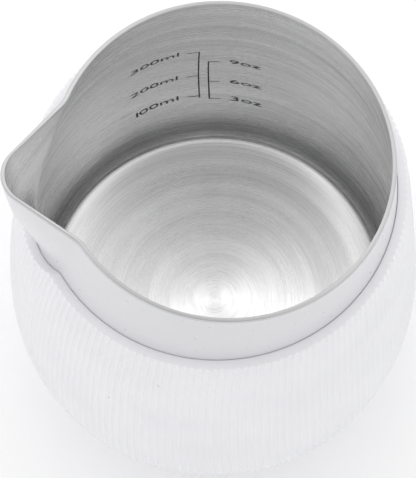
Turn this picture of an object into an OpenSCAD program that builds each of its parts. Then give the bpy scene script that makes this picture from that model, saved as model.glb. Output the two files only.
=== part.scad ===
/* [Pot] */
// Outer radius of the round part of the mouth
mouth_r = 35; // [30:0.5:38]
// Height of the middle of the mouth above the resting plane
mouth_h = 103; // [96:0.5:110]
// How far the pot leans back at the middle of its mouth
mouth_back = 3.9; // [0:0.1:5]
// How late the lean sets in above the widest place
lean_curve = 2.7; // [1:0.1:4]
// Angle by which the rim climbs towards the spout
mouth_tilt = 5.1; // [0:0.1:6]
// Thickness of the drawn steel
wall = 0.9; // [0.6:0.1:1.4]
// Outer radius of the pot at the top of the sleeve
neck_r = 37.8; // [37:0.05:40]
// Height of the sleeve's flat top edge
neck_h = 86.3; // [80:0.1:90]
// Outer radius of the pot at its widest
belly_r = 45.7; // [43:0.1:47]
// Height of the pot's widest place
belly_h = 24.7; // [20:0.1:30]
// Radius of the flat bottom of the pot
bottom_r = 41.2; // [38:0.1:43]

/* [Spout] */
// Distance of the spout's tip from the axis of the belly
spout_reach = 41.6; // [40:0.1:46]
// Radius of the rounded tip, seen from above
tip_r = 6.5; // [4:0.1:8]
// Angle between a side of the spout and its middle line
side_angle = 41.6; // [38:0.1:48]
// Radius of the round patch of wall that the spout is pressed out of
patch_r = 18; // [15:0.5:19]
// Height of the middle of that patch
patch_h = 97; // [95:0.5:99]
// How early the spout's underside turns upright
underside_curve = 4; // [2:0.5:6]

/* [Sleeve] */
// Thickness of the silicone
sleeve_t = 2.3; // [1.8:0.1:3]
// Gap between the sleeve and the pot
fit_gap = 0.3; // [0.2:0.05:0.4]
// Gap under the pot's bottom
seat_gap = 0.2; // [0.1:0.05:0.3]
// Width of the notch for the spout beyond the pressed patch
notch_gap = 0.9; // [0.4:0.1:1.5]

/* [Quality] */
// Angle between neighbouring points round the spout
fine_step = 2; // [1.5, 2, 3]
// Angle between neighbouring points round the rest of the pot
coarse_step = 6; // [5, 6, 10]
// Points along the belly's side
belly_points = 13; // [8:1:16]
// Points along the bottom corner
corner_points = 8; // [6:1:10]
// Rings between the foot of the spout and the rim
collar_points = 12; // [8:1:16]
// Angle between neighbouring points round the sleeve
sleeve_step = 3; // [3, 4, 5]

/* [Hidden] */

pot_base = sleeve_t + seat_gap;
rim_slope = tan(mouth_tilt);
spout_foot = patch_h - patch_r;
// The spout's shape at the rim, measured from the middle of the mouth
tip_out = spout_reach + mouth_back;
apex_out = tip_out + tip_r * (1 / sin(side_angle) - 1);
tip_mid = apex_out - tip_r / sin(side_angle);
tip_end = atan(tip_r * cos(side_angle) / (tip_mid + tip_r * sin(side_angle)));
// How far the concave corner beside the spout is rounded
corner_blend = 1.5;
// Sides of the spout and of the rest, where the angle steps change
spout_zone = 30;

// A point on a cubic curve through p[0] and p[3]
function on_curve(p, t) =
    pow(1 - t, 3) * p[0] + 3 * pow(1 - t, 2) * t * p[1]
    + 3 * (1 - t) * t * t * p[2] + pow(t, 3) * p[3];

function mix(a, b, t) = a + (b - a) * t;

// The larger of two lengths, with the corner between them rounded
function round_max(a, b, k) =
    let (h = max(k - abs(a - b), 0) / k) max(a, b) + h * h * k / 4;

// Corner from the flat bottom up to the widest place, grown by out and raised by up
function corner_line(out, up, n) =
    let (
        foot = [bottom_r, pot_base + up],
        widest = [belly_r + out, belly_h],
        p = [
            foot,
            foot + [0.2 * (widest[0] - foot[0]), 0],
            widest - [0, 0.73 * (widest[1] - foot[1])],
            widest
        ]
    )
    [for (i = [0:n - 1]) on_curve(p, i / n)];

// Side from the widest place up to the neck, grown by out
function side_line(out, n) =
    let (
        low = [belly_r + out, belly_h],
        high = [neck_r + out, neck_h],
        rise = neck_h - belly_h,
        p = [low, low + [0, 0.19 * rise], high + rise * [0.05, -0.19], high]
    )
    [for (i = [0:n]) on_curve(p, i / n)];

// Distance of the pressed side or tip from the middle of the mouth, at angle a from the spout
function beak_line(a) =
    a < tip_end
        ? tip_mid * cos(a) + sqrt(pow(tip_r, 2) - pow(tip_mid * sin(a), 2))
        : apex_out * sin(side_angle) / sin(side_angle + min(a, 60));

// The spout's outline at the rim as a share of its full reach
function beak_share(a) =
    a > rim_half ? 0 : (round_max(mouth_r, beak_line(a), corner_blend) - mouth_r) / (tip_out - mouth_r);

// Half of the angle that the pressed patch covers at height z on a wall of radius r
function patch_half(r, z) = asin(sqrt(max(pow(patch_r, 2) - pow(z - patch_h, 2), 0)) / r);

rim_half = patch_half(mouth_r, mouth_h);

// How far the pot's middle lies back from the belly's axis at height z
function lean(z) = mouth_back * pow(max(z - belly_h, 0) / (mouth_h - belly_h), lean_curve);

// How far the middle of the spout stands out of a wall of radius r at height z
function spout_out(r, z, back) =
    let (t = (z - spout_foot) / (mouth_h - spout_foot))
    mix(neck_r, spout_reach, 1 - pow(1 - t, underside_curve)) - (r - back);

// One ring of points at height z, round a wall of outer radius r that is moved in by inset
function ring(r, z, inset) =
    let (
        share = max(z - neck_h, 0) / (mouth_h - neck_h),
        back = lean(z),
        half = z > spout_foot ? patch_half(r, z) : 0,
        out = half > 0 ? max(spout_out(r, z, back), 0) : 0
    )
    [
        for (a = angles)
            let (
                off = abs(a),
                bulge = off < half ? out * beak_share(off * rim_half / half) : 0,
                reach = r - inset + bulge,
                x = -reach * cos(a)
            )
            [x + back, reach * sin(a), z - rim_slope * share * x]
    ];

angles = concat(
    [for (a = [-spout_zone:fine_step:spout_zone]) a],
    [for (a = [spout_zone + coarse_step:coarse_step:360 - spout_zone - coarse_step]) a > 180 ? a - 360 : a]
);

// Heights and radii of the wall from the neck up to the rim
collar_line = [
    for (i = [1:collar_points])
        [mix(neck_r, mouth_r, i / collar_points), mix(neck_h, mouth_h, i / collar_points)]
];

// A closed body from rings of points, flat at both ends
module skin(rings) {
    n = len(rings[0]);
    sides = [
        for (k = [0:len(rings) - 2], i = [0:n - 1])
            let (a = k * n + i, b = k * n + (i + 1) % n)
            each [[a, a + n, b], [b, a + n, b + n]]
    ];
    first = [for (i = [0:n - 1]) i];
    last = [for (i = [n - 1:-1:0]) (len(rings) - 1) * n + i];
    polyhedron([for (r = rings) each r], concat([first], sides, [last]), convexity = 8);
}

module steel_pot() {
    outside = concat(corner_line(0, 0, corner_points), side_line(0, belly_points), collar_line);
    inside = concat(corner_line(0, wall, corner_points), side_line(0, belly_points), collar_line);
    rows = len(inside);
    color("gainsboro")
        skin(concat(
            [for (p = outside) ring(p[0], p[1], 0)],
            [for (k = [rows - 1:-1:0]) ring(inside[k][0], inside[k][1], wall)]
        ));
}

// One ring of points at height z, round the middle that the pot has there
function sleeve_ring(r, z) =
    [for (a = [0:sleeve_step:360 - sleeve_step]) [lean(z) - r * cos(a), r * sin(a), z]];

module silicone_sleeve() {
    crest = fit_gap + sleeve_t;
    base_r = bottom_r + fit_gap;
    widest = [belly_r + crest, belly_h];
    foot = [
        [base_r, 0],
        [mix(base_r, widest[0], 0.1), 0],
        widest - [0, 0.55 * belly_h],
        widest
    ];
    outside = concat([for (i = [0:corner_points - 1]) on_curve(foot, i / corner_points)],
        side_line(crest, belly_points));
    inside = concat(corner_line(fit_gap, -seat_gap, corner_points), side_line(fit_gap, belly_points));
    rows = len(inside);
    color("white")
        difference() {
            skin(concat(
                [for (p = outside) sleeve_ring(p[0], p[1])],
                [for (k = [rows - 1:-1:0]) sleeve_ring(inside[k][0], inside[k][1])]
            ));
            translate([-spout_reach - 10, 0, patch_h])
                rotate([0, 90, 0])
                    cylinder(r = patch_r + notch_gap, h = spout_reach, $fn = 90);
        }
}

steel_pot();
silicone_sleeve();
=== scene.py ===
import math
import bmesh
import bpy
import numpy as np
from mathutils import Matrix, Vector


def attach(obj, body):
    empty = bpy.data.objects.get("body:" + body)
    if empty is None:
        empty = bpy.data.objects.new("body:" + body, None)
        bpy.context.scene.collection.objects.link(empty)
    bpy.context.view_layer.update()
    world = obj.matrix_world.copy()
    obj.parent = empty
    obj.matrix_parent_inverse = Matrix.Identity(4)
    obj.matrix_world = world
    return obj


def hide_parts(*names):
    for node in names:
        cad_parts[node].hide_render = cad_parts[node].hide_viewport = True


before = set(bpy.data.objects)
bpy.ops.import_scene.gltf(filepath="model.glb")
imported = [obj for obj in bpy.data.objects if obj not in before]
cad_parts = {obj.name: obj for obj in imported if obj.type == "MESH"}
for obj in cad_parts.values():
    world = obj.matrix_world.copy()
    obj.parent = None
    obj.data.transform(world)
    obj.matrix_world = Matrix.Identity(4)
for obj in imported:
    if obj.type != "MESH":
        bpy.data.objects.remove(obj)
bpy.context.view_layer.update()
print("frame loaded:", ", ".join(sorted(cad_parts)))

mm = 0.001

potShape = {
    "mouthRadius": 35.0,
    "mouthHeight": 103.0,
    "mouthBack": 3.9,        # how far the mouth leans away from the spout
    "leanCurve": 2.7,
    "mouthTilt": 5.1,        # degrees that the rim climbs towards the spout
    "wall": 0.9,
    "neckRadius": 37.8,
    "neckHeight": 86.3,
    "bellyRadius": 45.7,
    "bellyHeight": 24.7,
    "bottomRadius": 41.2,
    "base": 2.5,
    "spoutReach": 41.6,
    "tipRadius": 6.5,
    "sideAngle": 41.6,
    "patchRadius": 18.0,     # the round patch of wall that the spout is pressed out of
    "patchHeight": 97.0,
    "undersideCurve": 4.0,
    "foldBlend": 0.6,
    "rimEdge": 0.2,
    "floorRing": 24.0,       # the flat middle of the floor, inside the spinning tool's turning line
    "floorStep": 0.12,
    "dishEdge": 41.6,        # the floor rises a little from its ring to here
    "dishRise": 2.4,
    "dishCurve": 3.2,
    "innerCorner": (42.95, 6.4),
    "innerRound": 2.0,
    "spoutSteps": 200,
    "backSteps": 150,
}


def cubicPoint(ends, share):
    rest = 1 - share
    weights = (rest ** 3, 3 * rest * rest * share, 3 * rest * share * share, share ** 3)
    return tuple(sum(w * p[k] for w, p in zip(weights, ends)) for k in (0, 1))


def mix(a, b, share):
    return a + (b - a) * share


def cornerCurve(out, up, count):  # from the flat bottom to the widest place
    s = potShape
    foot = (s["bottomRadius"], s["base"] + up)
    widest = (s["bellyRadius"] + out, s["bellyHeight"])
    ends = (foot, (mix(foot[0], widest[0], 0.2), foot[1]), (widest[0], mix(widest[1], foot[1], 0.73)), widest)
    return [cubicPoint(ends, k / count) for k in range(count)]


def sideCurve(out, count):  # from the widest place up to the neck
    s = potShape
    rise = s["neckHeight"] - s["bellyHeight"]
    low = (s["bellyRadius"] + out, s["bellyHeight"])
    high = (s["neckRadius"] + out, s["neckHeight"])
    ends = (low, (low[0], low[1] + 0.19 * rise), (high[0] + 0.05 * rise, high[1] - 0.19 * rise), high)
    return [cubicPoint(ends, k / count) for k in range(count + 1)]


sideTable = sideCurve(0, 200) + [(potShape["mouthRadius"], potShape["mouthHeight"])]
cornerTable = cornerCurve(0, 0, 120)
wallHeights = np.array([p[1] for p in cornerTable + sideTable])
wallRadii = np.array([p[0] for p in cornerTable + sideTable])


def wallRadius(z):  # outer radius of the steel at height z
    return float(np.interp(z, wallHeights, wallRadii))


def leanAt(z):
    s = potShape
    share = max(z - s["bellyHeight"], 0) / (s["mouthHeight"] - s["bellyHeight"])
    return s["mouthBack"] * share ** s["leanCurve"]


def roundMax(a, b, k):
    h = max(k - abs(a - b), 0) / k
    return max(a, b) + h * h * k / 4


def patchHalf(radius, z):  # half of the angle that the pressed patch covers
    s = potShape
    return math.asin(math.sqrt(max(s["patchRadius"] ** 2 - (z - s["patchHeight"]) ** 2, 0)) / radius)


def beakLine(a):  # outline of the spout from above, from the middle of the mouth
    s = potShape
    side = math.radians(s["sideAngle"])
    tipOut = s["spoutReach"] + s["mouthBack"]
    apex = tipOut + s["tipRadius"] * (1 / math.sin(side) - 1)
    middle = apex - s["tipRadius"] / math.sin(side)
    tipEnd = math.atan(s["tipRadius"] * math.cos(side) / (middle + s["tipRadius"] * math.sin(side)))
    if a < tipEnd:
        return middle * math.cos(a) + math.sqrt(s["tipRadius"] ** 2 - (middle * math.sin(a)) ** 2)
    return apex * math.sin(side) / math.sin(side + min(a, math.radians(60)))


rimHalf = patchHalf(potShape["mouthRadius"], potShape["mouthHeight"])


def beakShare(a):
    s = potShape
    if a > rimHalf:
        return 0.0
    reach = roundMax(s["mouthRadius"], beakLine(a), s["foldBlend"]) - s["mouthRadius"]
    return reach / (s["spoutReach"] + s["mouthBack"] - s["mouthRadius"])


def spoutOut(radius, z):
    s = potShape
    foot = s["patchHeight"] - s["patchRadius"]
    t = min(max((z - foot) / (s["mouthHeight"] - foot), 0), 1)
    keel = mix(s["neckRadius"], s["spoutReach"], 1 - (1 - t) ** s["undersideCurve"])
    return max(keel - (radius - leanAt(z)), 0)


def placeOnPot(bm):  # leans and tilts a spun pot surface and presses its spout
    s = potShape
    slope = math.tan(math.radians(s["mouthTilt"]))
    foot = s["patchHeight"] - s["patchRadius"]
    for v in bm.verts:
        x, y, z = v.co / mm
        flat = math.hypot(x, y)
        if z < s["bellyHeight"] or flat < 1:
            continue
        angle = math.atan2(y, -x)
        off = abs(angle)
        outer = wallRadius(z)
        bulge = 0.0
        if z > foot:
            half = patchHalf(outer, z)
            if off < half:
                bulge = spoutOut(outer, z) * beakShare(off * rimHalf / half)
        share = max(z - s["neckHeight"], 0) / (s["mouthHeight"] - s["neckHeight"])
        reach = flat + bulge
        back = -reach * math.cos(angle)
        v.co = Vector((back + leanAt(z), reach * math.sin(angle), z - slope * share * back)) * mm


def spinLine(points, turns):  # spins a line of (radius, height) round the upright axis
    bm = bmesh.new()
    verts = [bm.verts.new((-r * mm, 0, z * mm)) for r, z in points]
    line = [bm.edges.new(pair) for pair in zip(verts, verts[1:])]
    start = -turns[0][0] / 2
    bmesh.ops.rotate(bm, verts=verts, cent=(0, 0, 0), matrix=Matrix.Rotation(math.radians(start), 3, "Z"))
    moving = verts + line
    for degrees, steps in turns:
        whole = degrees == 360
        made = bmesh.ops.spin(bm, geom=moving, cent=(0, 0, 0), axis=(0, 0, 1), dvec=(0, 0, 0),
                              angle=math.radians(degrees), steps=steps, use_merge=whole, use_duplicate=False)
        moving = made["geom_last"]
    bmesh.ops.remove_doubles(bm, verts=bm.verts, dist=2e-6)
    bmesh.ops.recalc_face_normals(bm, faces=bm.faces)
    return bm


def roundedCorner(before, corner, after, radius, count=3):  # a bent line's corner as an arc
    a = (Vector(before) - Vector(corner)).normalized() * radius
    b = (Vector(after) - Vector(corner)).normalized() * radius
    spots = []
    for k in range(count + 1):
        t = k / count
        spots.append(tuple(Vector(corner) + a * (1 - t) ** 2 + b * t * t))
    return spots


def finishPiece(bm, name, material, body):
    mesh = bpy.data.meshes.new(name)
    bm.to_mesh(mesh)
    bm.free()
    for face in mesh.polygons:
        face.use_smooth = True
    piece = bpy.data.objects.new(name, mesh)
    bpy.context.scene.collection.objects.link(piece)
    mesh.materials.append(material)
    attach(piece, body)
    print(name, "made:", len(mesh.polygons), "faces")
    return piece


# shader groups shared by the finishes

def newGroup(name, inputs, outputs):
    group = bpy.data.node_groups.new(name, "ShaderNodeTree")
    for label, kind, value in inputs:
        socket = group.interface.new_socket(label, in_out="INPUT", socket_type=kind)
        if value is not None:
            socket.default_value = value
    for label, kind in outputs:
        group.interface.new_socket(label, in_out="OUTPUT", socket_type=kind)
    return group, group.nodes.new("NodeGroupInput"), group.nodes.new("NodeGroupOutput")


def addNode(tree, kind, settings=None, values=None):
    node = tree.nodes.new(kind)
    for key, value in (settings or {}).items():
        setattr(node, key, value)
    for key, value in (values or {}).items():
        node.inputs[key].default_value = value
    return node


def makeBrushGroup():  # fine scratches that run round the axis, on wall and floor alike
    group, start, end = newGroup(
        "brushLines",
        [("Place", "NodeSocketVector", None), ("Path", "NodeSocketFloat", 0.0),
         ("Around", "NodeSocketFloat", 8.0), ("Across", "NodeSocketFloat", 2500.0),
         ("Detail", "NodeSocketFloat", 4.0)],
        [("Lines", "NodeSocketFloat"), ("Bands", "NodeSocketFloat")])
    link = group.links.new
    flat = addNode(group, "ShaderNodeVectorMath", {"operation": "MULTIPLY"})
    flat.inputs[1].default_value = (1, 1, 0)
    link(start.outputs["Place"], flat.inputs[0])
    unit = addNode(group, "ShaderNodeVectorMath", {"operation": "NORMALIZE"})
    link(flat.outputs["Vector"], unit.inputs[0])
    ring = addNode(group, "ShaderNodeVectorMath", {"operation": "SCALE"})
    link(unit.outputs["Vector"], ring.inputs[0])
    link(start.outputs["Around"], ring.inputs["Scale"])
    along = addNode(group, "ShaderNodeMath", {"operation": "MULTIPLY"})
    link(start.outputs["Path"], along.inputs[0])
    link(start.outputs["Across"], along.inputs[1])
    lift = addNode(group, "ShaderNodeCombineXYZ")
    link(along.outputs[0], lift.inputs["Z"])
    spot = addNode(group, "ShaderNodeVectorMath", {"operation": "ADD"})
    link(ring.outputs["Vector"], spot.inputs[0])
    link(lift.outputs["Vector"], spot.inputs[1])
    fine = addNode(group, "ShaderNodeTexNoise", None, {"Scale": 1.0, "Roughness": 0.65})
    link(spot.outputs["Vector"], fine.inputs["Vector"])
    link(start.outputs["Detail"], fine.inputs["Detail"])
    link(fine.outputs["Fac"], end.inputs["Lines"])
    wide = addNode(group, "ShaderNodeVectorMath", {"operation": "MULTIPLY"})
    wide.inputs[1].default_value = (0.35, 0.35, 0.12)
    link(spot.outputs["Vector"], wide.inputs[0])
    coarse = addNode(group, "ShaderNodeTexNoise", None, {"Scale": 1.0, "Detail": 2.0, "Roughness": 0.5})
    link(wide.outputs["Vector"], coarse.inputs["Vector"])
    link(coarse.outputs["Fac"], end.inputs["Bands"])
    return group


def makeMottleGroup():  # slow tone changes and a fine grain
    group, start, end = newGroup(
        "softMottle",
        [("Place", "NodeSocketVector", None), ("Size", "NodeSocketFloat", 60.0),
         ("Grain Size", "NodeSocketFloat", 2500.0)],
        [("Mottle", "NodeSocketFloat"), ("Grain", "NodeSocketFloat")])
    link = group.links.new
    slow = addNode(group, "ShaderNodeTexNoise", None, {"Detail": 2.0, "Roughness": 0.5})
    link(start.outputs["Place"], slow.inputs["Vector"])
    link(start.outputs["Size"], slow.inputs["Scale"])
    grain = addNode(group, "ShaderNodeTexNoise", None, {"Detail": 3.0, "Roughness": 0.6})
    link(start.outputs["Place"], grain.inputs["Vector"])
    link(start.outputs["Grain Size"], grain.inputs["Scale"])
    link(slow.outputs["Fac"], end.inputs["Mottle"])
    link(grain.outputs["Fac"], end.inputs["Grain"])
    return group


def makeSpeckGroup():  # scattered tiny specks of dust
    group, start, end = newGroup(
        "dustSpecks",
        [("Place", "NodeSocketVector", None), ("Spacing", "NodeSocketFloat", 350.0),
         ("Share", "NodeSocketFloat", 0.06)],
        [("Specks", "NodeSocketFloat")])
    link = group.links.new
    cells = addNode(group, "ShaderNodeTexVoronoi", {"feature": "F1"}, {"Randomness": 1.0})
    link(start.outputs["Place"], cells.inputs["Vector"])
    link(start.outputs["Spacing"], cells.inputs["Scale"])
    near = addNode(group, "ShaderNodeMath", {"operation": "LESS_THAN"})
    link(cells.outputs["Distance"], near.inputs[0])
    near.inputs[1].default_value = 0.09
    pick = addNode(group, "ShaderNodeSeparateColor")
    link(cells.outputs["Color"], pick.inputs["Color"])
    chosen = addNode(group, "ShaderNodeMath", {"operation": "LESS_THAN"})
    link(pick.outputs["Red"], chosen.inputs[0])
    link(start.outputs["Share"], chosen.inputs[1])
    both = addNode(group, "ShaderNodeMath", {"operation": "MULTIPLY"})
    link(near.outputs[0], both.inputs[0])
    link(chosen.outputs[0], both.inputs[1])
    link(both.outputs[0], end.inputs["Specks"])
    return group


brushGroup = makeBrushGroup()
mottleGroup = makeMottleGroup()
speckGroup = makeSpeckGroup()


def newMaterial(name, values):
    material = bpy.data.materials.new(name)
    material.use_nodes = True
    tree = material.node_tree
    shader = tree.nodes["Principled BSDF"]
    for key, value in values.items():
        shader.inputs[key].default_value = value
    place = tree.nodes.new("ShaderNodeTexCoord")
    return material, tree, shader, place.outputs["Object"]


def useGroup(tree, group, place, values):
    node = tree.nodes.new("ShaderNodeGroup")
    node.node_tree = group
    tree.links.new(place, node.inputs["Place"])
    for key, value in values.items():
        node.inputs[key].default_value = value
    return node


def mixColours(tree, share, first, second, blend="MIX"):
    node = addNode(tree, "ShaderNodeMix", {"data_type": "RGBA", "blend_type": blend})
    sockets = [s for s in node.inputs if s.enabled]
    for socket, value in zip(sockets, (share, first, second)):
        if isinstance(value, bpy.types.NodeSocket):
            tree.links.new(value, socket)
        else:
            socket.default_value = value
    return [s for s in node.outputs if s.enabled][0]


def remap(tree, value, low, high, toLow, toHigh):
    node = addNode(tree, "ShaderNodeMapRange", None,
                   {"From Min": low, "From Max": high, "To Min": toLow, "To Max": toHigh})
    tree.links.new(value, node.inputs["Value"])
    return node.outputs["Result"]


def combine(tree, operation, first, second):
    node = addNode(tree, "ShaderNodeMath", {"operation": operation})
    for socket, value in zip(node.inputs, (first, second)):
        if isinstance(value, bpy.types.NodeSocket):
            tree.links.new(value, socket)
        else:
            socket.default_value = value
    return node.outputs[0]


steelFinish = {
    "dark": (0.75, 0.75, 0.755, 1),
    "light": (0.96, 0.96, 0.96, 1),
    "cut": (0.50, 0.50, 0.505, 1),   # the sheet's cut edge at the rim
    "roughLow": 0.18,
    "roughHigh": 0.31,
    "lineDepth": 0.00002,
}


def makeSteel():
    f = steelFinish
    material, tree, shader, place = newMaterial(
        "brushedSteel", {"Metallic": 1.0, "Anisotropic": 0.75, "Anisotropic Rotation": 0.25})
    path = addNode(tree, "ShaderNodeAttribute", {"attribute_name": "brushPath"})
    brush = useGroup(tree, brushGroup, place, {"Around": 0.7, "Across": 1900.0, "Detail": 3.0})
    tree.links.new(path.outputs["Fac"], brush.inputs["Path"])
    mottle = useGroup(tree, mottleGroup, place, {"Size": 45.0})
    tone = combine(tree, "ADD", combine(tree, "MULTIPLY", brush.outputs["Lines"], 0.55),
                   combine(tree, "MULTIPLY", brush.outputs["Bands"], 0.45))
    brushed = mixColours(tree, remap(tree, tone, 0.38, 0.62, 0, 1), f["dark"], f["light"])
    cut = addNode(tree, "ShaderNodeAttribute", {"attribute_name": "cutEdge"})
    tree.links.new(mixColours(tree, cut.outputs["Fac"], brushed, f["cut"]), shader.inputs["Base Color"])
    rough = combine(tree, "ADD", remap(tree, brush.outputs["Lines"], 0.3, 0.7, f["roughLow"], f["roughHigh"]),
                    remap(tree, mottle.outputs["Mottle"], 0.3, 0.7, -0.02, 0.02))
    rough = combine(tree, "ADD", rough, combine(tree, "MULTIPLY", cut.outputs["Fac"], 0.12))
    tree.links.new(rough, shader.inputs["Roughness"])
    bump = addNode(tree, "ShaderNodeBump", None, {"Strength": 0.5, "Distance": f["lineDepth"]})
    tree.links.new(brush.outputs["Lines"], bump.inputs["Height"])
    tree.links.new(bump.outputs["Normal"], shader.inputs["Normal"])
    tangent = addNode(tree, "ShaderNodeTangent", {"direction_type": "RADIAL", "axis": "Z"})
    tree.links.new(tangent.outputs["Tangent"], shader.inputs["Tangent"])
    return material


coatingFinish = {
    "white": (0.70, 0.70, 0.723, 1),
    "shade": (0.68, 0.68, 0.703, 1),
    "dust": (0.55, 0.55, 0.56, 1),
    "roughLow": 0.27,
    "roughHigh": 0.33,
}


def makeCoating():
    f = coatingFinish
    material, tree, shader, place = newMaterial("whiteCoating", {"Coat Weight": 0.15, "Coat Roughness": 0.12})
    mottle = useGroup(tree, mottleGroup, place, {"Size": 70.0, "Grain Size": 700.0})
    specks = useGroup(tree, speckGroup, place, {"Spacing": 170.0, "Share": 0.006})
    base = mixColours(tree, remap(tree, mottle.outputs["Mottle"], 0.3, 0.7, 0, 1), f["shade"], f["white"])
    dusty = mixColours(tree, combine(tree, "MULTIPLY", specks.outputs["Specks"], 0.5), base, f["dust"])
    tree.links.new(dusty, shader.inputs["Base Color"])
    rough = remap(tree, mottle.outputs["Grain"], 0.3, 0.7, f["roughLow"], f["roughHigh"])
    tree.links.new(rough, shader.inputs["Roughness"])
    bump = addNode(tree, "ShaderNodeBump", None, {"Strength": 0.05, "Distance": 0.00005})
    tree.links.new(mottle.outputs["Grain"], bump.inputs["Height"])
    tree.links.new(bump.outputs["Normal"], shader.inputs["Normal"])
    return material


siliconeFinish = {
    "white": (0.87, 0.87, 0.89, 1),
    "shade": (0.84, 0.84, 0.862, 1),
    "dust": (0.52, 0.52, 0.53, 1),
    "roughLow": 0.50,
    "roughHigh": 0.66,
}


def makeSilicone():
    f = siliconeFinish
    material, tree, shader, place = newMaterial(
        "whiteSilicone", {"Specular IOR Level": 0.42, "Sheen Weight": 0.08, "Sheen Roughness": 0.4})
    mottle = useGroup(tree, mottleGroup, place, {"Size": 55.0, "Grain Size": 3200.0})
    specks = useGroup(tree, speckGroup, place, {"Spacing": 260.0, "Share": 0.05})
    base = mixColours(tree, remap(tree, mottle.outputs["Mottle"], 0.3, 0.7, 0, 1), f["shade"], f["white"])
    dusty = mixColours(tree, combine(tree, "MULTIPLY", specks.outputs["Specks"], 0.7), base, f["dust"])
    tree.links.new(dusty, shader.inputs["Base Color"])
    rough = remap(tree, mottle.outputs["Grain"], 0.3, 0.7, f["roughLow"], f["roughHigh"])
    tree.links.new(rough, shader.inputs["Roughness"])
    bump = addNode(tree, "ShaderNodeBump", None, {"Strength": 0.2, "Distance": 0.00006})
    tree.links.new(mottle.outputs["Grain"], bump.inputs["Height"])
    tree.links.new(bump.outputs["Normal"], shader.inputs["Normal"])
    return material


def makeInk():
    material, tree, shader, place = newMaterial("scaleInk", {"Specular IOR Level": 0.4})
    mottle = useGroup(tree, mottleGroup, place, {"Size": 900.0, "Grain Size": 6000.0})
    tree.links.new(mixColours(tree, remap(tree, mottle.outputs["Mottle"], 0.35, 0.65, 0, 1),
                              (0.018, 0.018, 0.02, 1), (0.05, 0.05, 0.054, 1)), shader.inputs["Base Color"])
    tree.links.new(remap(tree, mottle.outputs["Grain"], 0.3, 0.7, 0.45, 0.65), shader.inputs["Roughness"])
    return material


steel = makeSteel()
coating = makeCoating()
silicone = makeSilicone()
ink = makeInk()
print("finishes made")


# the drawn steel pot

def collarCurve(out, top, count):  # from the neck up to the rim
    s = potShape
    low, high = s["neckHeight"], s["mouthHeight"]
    return [(mix(s["neckRadius"], s["mouthRadius"], k / count * (top - low) / (high - low)) + out,
             mix(low, top, k / count)) for k in range(1, count + 1)]


def makePot():
    s = potShape
    wall, top = s["wall"], s["mouthHeight"]
    floorTop = s["base"] + wall
    outside = [(0, s["base"])] + cornerCurve(0, 0, 14) + sideCurve(0, 30) + collarCurve(0, top, 36)
    lowWall = [(wallRadius(z) - wall, z) for z in range(9, 24, 2)]
    inside = lowWall + sideCurve(-wall, 44) + collarCurve(-wall, top, 36)
    outerEdge = roundedCorner(outside[-2], outside[-1], (s["mouthRadius"] - wall, top), s["rimEdge"])
    innerEdge = roundedCorner((s["mouthRadius"], top), inside[-1], inside[-2], s["rimEdge"])
    ring, step = s["floorRing"], s["floorStep"]
    dish = []
    for k in range(13):
        share = k / 12
        dish.append((mix(ring + 0.8, s["dishEdge"], share), floorTop + s["dishRise"] * share ** s["dishCurve"]))
    bend = roundedCorner(lowWall[0], s["innerCorner"], dish[-1], s["innerRound"], 10)
    dish = [p for p in dish if p[0] < bend[-1][0] - 0.2]
    floor = [(ring, floorTop - step * 0.5), (ring - 0.8, floorTop - step),
             (12, floorTop - step), (4, floorTop - step), (0, floorTop - step)]
    line = outside[:-1] + outerEdge + innerEdge + inside[-2::-1] + bend + dish[::-1] + floor
    bm = spinLine(line, [(100, s["spoutSteps"]), (260, s["backSteps"])])
    # a path length for the brush lines, along the radius on the floor and up the wall
    layer = bm.verts.layers.float.new("brushPath")
    edge = bm.verts.layers.float.new("cutEdge")
    for v in bm.verts:
        r = math.hypot(v.co.x, v.co.y)
        v[layer] = r + max(v.co.z - floorTop * mm, 0)
        v[edge] = min(max((v.co.z / mm - top + 0.15) / 0.1, 0), 1)
    placeOnPot(bm)
    pot = finishPiece(bm, "potSteel", steel, "pot")
    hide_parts("steel_pot")
    return pot


makePot()


# the white coating on the pot's outside

coatShape = {"thickness": 0.1, "gap": 0.01, "belowRim": 0.32}


def makeCoatingShell():
    s, c = potShape, coatShape
    top = s["mouthHeight"] - c["belowRim"]
    far, near = c["thickness"], c["gap"]
    outside, inside = [
        [(0, s["base"] - out)] + cornerCurve(out, -out, 14) + sideCurve(out, 30) + collarCurve(out, top, 36)
        for out in (far, near)]
    edge = roundedCorner(outside[-2], outside[-1], inside[-1], 0.05, 2)
    bm = spinLine(outside[:-1] + edge + inside[::-1], [(100, s["spoutSteps"]), (260, s["backSteps"])])
    placeOnPot(bm)
    return finishPiece(bm, "potCoating", coating, "pot")


makeCoatingShell()


# the silicone sleeve

sleeveShape = {
    "thickness": 2.44,
    "gap": 0.16,
    "flutes": 160,
    "fluteDepth": 0.40,
    "stepsPerFlute": 8,
    "notchGap": 0.3,
    "notchBlend": 0.9,
    "edge": 0.22,
    "baseRadius": 41.5,
    "warpFrom": 58.0,        # below this height the notch moves nothing
}


def fluteScoop(angle, scoopCount):  # 0 on a crest, 1 in the middle of a flute
    u = (angle * scoopCount / (2 * math.pi)) % 1.0
    return 1 - (2 * u - 1) ** 2


def notchTop(y):  # height of the sleeve's edge, y to the side of the spout's middle
    s, n = potShape, sleeveShape
    radius = s["patchRadius"] + n["notchGap"]
    low = s["patchHeight"] - math.sqrt(max(radius ** 2 - y * y, 0))
    k = n["notchBlend"]
    return -roundMax(-low, -s["neckHeight"], k)


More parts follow.
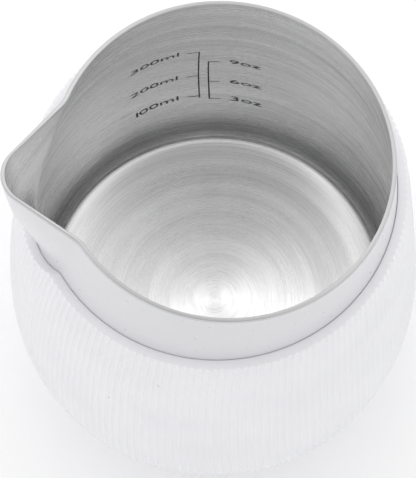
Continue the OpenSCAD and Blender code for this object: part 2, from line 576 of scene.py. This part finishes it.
def makeSleeve():
    s, n = potShape, sleeveShape
    gap, thick, top = n["gap"], n["thickness"], s["neckHeight"]
    crest = gap + thick
    widest = (s["bellyRadius"] + crest, s["bellyHeight"])
    foot = (n["baseRadius"], 0)
    ends = (foot, (mix(foot[0], widest[0], 0.1), 0), (widest[0], 0.45 * widest[1]), widest)
    lower = [cubicPoint(ends, k / 9) for k in range(9)]
    outside = lower + sideCurve(crest, 20)
    inside = cornerCurve(gap, -gap, 12) + sideCurve(gap, 14)
    outerEdge = roundedCorner(outside[-2], outside[-1], inside[-1], n["edge"], 2)
    innerEdge = roundedCorner(outside[-1], inside[-1], inside[-2], n["edge"], 2)
    line = ([(0, 0), (20, 0)] + outside[:-1] + outerEdge + [(s["neckRadius"] + gap + thick / 2, top)]
            + innerEdge + inside[-2::-1] + [(20, inside[0][1]), (0, inside[0][1])])
    bm = spinLine(line, [(360, n["flutes"] * n["stepsPerFlute"])])
    for v in bm.verts:
        x, y, z = v.co / mm
        flat = math.hypot(x, y)
        if flat < 21:
            continue
        angle = math.atan2(y, -x)
        if z > n["warpFrom"]:
            across = (flat - wallRadius(z) - gap) / thick  # 0 at the pot, 1 outside
            spread = (z - n["warpFrom"]) / (top - n["warpFrom"])
            if abs(angle) < math.radians(40):
                for _ in range(3):
                    edgeAt = notchTop(flat * math.sin(angle))
                    z = n["warpFrom"] + spread * (edgeAt - n["warpFrom"])
                    flat = wallRadius(z) + gap + across * thick
        middle = wallRadius(max(z, 1)) + gap + thick / 2 if z > s["base"] + 4 else 0
        if flat > middle:
            fade = min(max((z - 0.6) / 6.0, 0), 1)
            fade = fade * fade * (3 - 2 * fade)
            flat -= n["fluteDepth"] * fade * fluteScoop(angle, n["flutes"])
        v.co = Vector((-flat * math.cos(angle) + leanAt(z), flat * math.sin(angle), z)) * mm
    sleeve = finishPiece(bm, "siliconeSleeve", silicone, "sleeve")
    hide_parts("silicone_sleeve")
    return sleeve


makeSleeve()


# the printed scale inside

scalePrint = {
    "ml": {"line": 87.4, "from": 63.9, "to": 27.6, "tickTo": 91.4, "ticks": (63.7, 44.6, 28.8),
           "labels": ("300ml", "200ml", "100ml"), "labelFrom": (110.0, 109.6, 108.2), "labelTo": 94.0,
           "lift": 0.7, "width": 0.34},
    "oz": {"line": 84.3, "from": 55.8, "to": 26.4, "tickTo": 80.8, "ticks": (55.6, 39.7, 26.6),
           "labels": ("9oz", "6oz", "3oz"), "labelFrom": (77.6, 77.6, 77.6), "labelTo": 67.6,
           "lift": 0.8, "width": 0.36},
    "tickHeight": 0.30,
    "capHeight": 2.9,
    "oneShift": 0.17,        # closes the gap after a leading 1
    "sagMiddle": 87.0,
    "sagLeft": 1.2,          # an inclined print pad leaves the marks lower towards their ends
    "sagRight": 0.6,
    "proud": 0.03,
    "thickness": 0.02,
    "wallRadius": 42.0,      # about what the wall has where the lines are
}


def innerSpot(azimuth, z, proud):  # a point just inside the inner wall
    p = scalePrint
    turn = math.radians(azimuth - p["sagMiddle"])
    radius = wallRadius(z) - potShape["wall"]
    z -= (p["sagLeft"] if turn > 0 else p["sagRight"]) * radius * (1 - math.cos(turn))
    radius = wallRadius(z) - potShape["wall"] - proud
    a = math.radians(azimuth)
    return Vector((radius * math.cos(a) + leanAt(z), radius * math.sin(a), z)) * mm


def wrapFlat(bm, azimuthAt, zAt):  # lays a flat print, x to the right and y up, on the inner wall
    for v in bm.verts:
        v.co = innerSpot(azimuthAt(v.co.x), zAt(v.co.y), scalePrint["proud"])


def addBar(target, left, right, low, high):
    bar = bmesh.new()
    across = max(int(abs(right - left) * 2), 1)
    upward = max(int(abs(high - low) / 1.5), 1)
    bmesh.ops.create_grid(bar, x_segments=across, y_segments=upward, size=0.5)
    bmesh.ops.translate(bar, verts=bar.verts, vec=(0.5, 0.5, 0))
    wrapFlat(bar, lambda x: mix(left, right, x), lambda y: mix(low, high, y))
    mesh = bpy.data.meshes.new("bar")
    bar.to_mesh(mesh)
    target.from_mesh(mesh)
    bpy.data.meshes.remove(mesh)
    bar.free()


def addLabel(target, words, left, right, middleZ):
    p = scalePrint
    curve = bpy.data.curves.new("label", "FONT")
    curve.body = words
    curve.size = 1.0
    curve.offset = 0.004
    curve.resolution_u = 4
    holder = bpy.data.objects.new("label", curve)
    bpy.context.scene.collection.objects.link(holder)
    bpy.context.view_layer.update()
    mesh = bpy.data.meshes.new_from_object(holder.evaluated_get(bpy.context.evaluated_depsgraph_get()))
    bpy.data.objects.remove(holder)
    bpy.data.curves.remove(curve)
    letters = bmesh.new()
    letters.from_mesh(mesh)
    bpy.data.meshes.remove(mesh)
    if words.startswith("1"):
        for v in letters.verts:
            if v.co.x < 0.45:
                v.co.x += p["oneShift"]
    xs = [v.co.x for v in letters.verts]
    cap = max(v.co.y for v in letters.verts)
    x0, x1 = min(xs), max(xs)
    bmesh.ops.triangulate(letters, faces=letters.faces)
    wrapFlat(letters, lambda x: mix(left, right, (x - x0) / (x1 - x0)),
             lambda y: middleZ + (y / cap - 0.5) * p["capHeight"])
    done = bpy.data.meshes.new("label")
    letters.to_mesh(done)
    target.from_mesh(done)
    bpy.data.meshes.remove(done)
    letters.free()


def makeScale():
    p = scalePrint
    target = bmesh.new()
    for side in (p["ml"], p["oz"]):
        half = math.degrees(side["width"] / 2 / p["wallRadius"])
        addBar(target, side["line"] + half, side["line"] - half, side["to"], side["from"])
        for tick, label, labelFrom in zip(side["ticks"], side["labels"], side["labelFrom"]):
            addBar(target, max(side["line"], side["tickTo"]), min(side["line"], side["tickTo"]),
                   tick - p["tickHeight"] / 2, tick + p["tickHeight"] / 2)
            addLabel(target, label, labelFrom, side["labelTo"], tick + side["lift"])
    bmesh.ops.recalc_face_normals(target, faces=target.faces)
    middle = Vector((leanAt(45) * mm, 0, 0))
    for face in target.faces:
        toAxis = middle - face.calc_center_median()
        toAxis.z = 0
        if face.normal.dot(toAxis) < 0:
            face.normal_flip()
    walls = bmesh.ops.solidify(target, geom=target.faces[:], thickness=p["thickness"] * mm)
    print("scale print thickened:", len(walls["geom"]), "parts")
    return finishPiece(target, "printedScale", ink, "pot")


makeScale()


# the floor, the light and the camera

studio = {
    "floorSize": 3.0,
    "floorTone": (0.97, 0.97, 0.975, 1),
    "worldFront": 0.74,
    "worldHigh": 1.30,
    "dimWay": (-0.02, -0.20, 0.98),  # the dim part of the room, overhead and towards the viewer
    "dimShare": 0.34,
    "boxPlace": (0.0, 0.44, 1.05),
    "boxSize": (0.30, 0.50),
    "boxPower": 0.40,
}


def makeStage():
    bm = bmesh.new()
    bmesh.ops.create_grid(bm, x_segments=2, y_segments=2, size=studio["floorSize"])
    bmesh.ops.translate(bm, verts=bm.verts, vec=(0, 0, -0.00005))
    mesh = bpy.data.meshes.new("floorSheet")
    bm.to_mesh(mesh)
    bm.free()
    floor = bpy.data.objects.new("floorSheet", mesh)
    bpy.context.scene.collection.objects.link(floor)
    pale = newMaterial("paleFloor", {"Base Color": studio["floorTone"], "Roughness": 0.8})
    mesh.materials.append(pale[0])


def addSoftbox(name, place, aim, size, power):
    light = bpy.data.lights.new(name, "AREA")
    light.shape = "RECTANGLE"
    light.size, light.size_y = size
    light.energy = power
    holder = bpy.data.objects.new(name, light)
    bpy.context.scene.collection.objects.link(holder)
    holder.location = place
    holder.rotation_euler = (Vector(aim) - Vector(place)).to_track_quat("-Z", "Y").to_euler()
    return holder


def makeLights():
    world = bpy.data.worlds.new("studioWorld")
    bpy.context.scene.world = world
    world.use_nodes = True
    tree = world.node_tree
    back = tree.nodes["Background"]
    way = tree.nodes.new("ShaderNodeTexCoord")
    parts = tree.nodes.new("ShaderNodeSeparateXYZ")
    tree.links.new(way.outputs["Generated"], parts.inputs["Vector"])
    # brighter overhead and behind, dimmer in front and near the horizon
    lean = combine(tree, "ADD", parts.outputs["Z"], combine(tree, "MULTIPLY", parts.outputs["Y"], 0.45))
    strength = remap(tree, lean, -0.6, 1.05, studio["worldFront"], studio["worldHigh"])
    facing = addNode(tree, "ShaderNodeVectorMath", {"operation": "DOT_PRODUCT"})
    tree.links.new(way.outputs["Generated"], facing.inputs[0])
    facing.inputs[1].default_value = studio["dimWay"]
    dim = addNode(tree, "ShaderNodeMapRange", {"interpolation_type": "SMOOTHSTEP"},
                  {"From Min": 0.85, "From Max": 0.97, "To Min": 1.0, "To Max": studio["dimShare"]})
    tree.links.new(facing.outputs["Value"], dim.inputs["Value"])
    tree.links.new(combine(tree, "MULTIPLY", strength, dim.outputs["Result"]), back.inputs["Strength"])
    back.inputs["Color"].default_value = (1, 1, 1, 1)
    addSoftbox("topBox", studio["boxPlace"], (0, 0, 0.05), studio["boxSize"], studio["boxPower"])


cameraSetup = {"place": (-9.0, -143.0, 483.8), "aim": (-0.72, 0.55, 50.0), "roll": -3.79, "lens": 150.6}


def makeCamera():
    c = cameraSetup
    data = bpy.data.cameras.new("pourView")
    data.lens = c["lens"]
    data.clip_start = 0.01
    holder = bpy.data.objects.new("pourView", data)
    bpy.context.scene.collection.objects.link(holder)
    place = Vector(c["place"]) * mm
    way = (Vector(c["aim"]) * mm - place).to_track_quat("-Z", "Y").to_matrix().to_4x4()
    holder.matrix_world = Matrix.Translation(place) @ way @ Matrix.Rotation(math.radians(c["roll"]), 4, "Z")
    bpy.context.scene.camera = holder


makeStage()
makeLights()
makeCamera()
bpy.context.scene.view_settings.view_transform = "Standard"
print("floor, light and camera made")
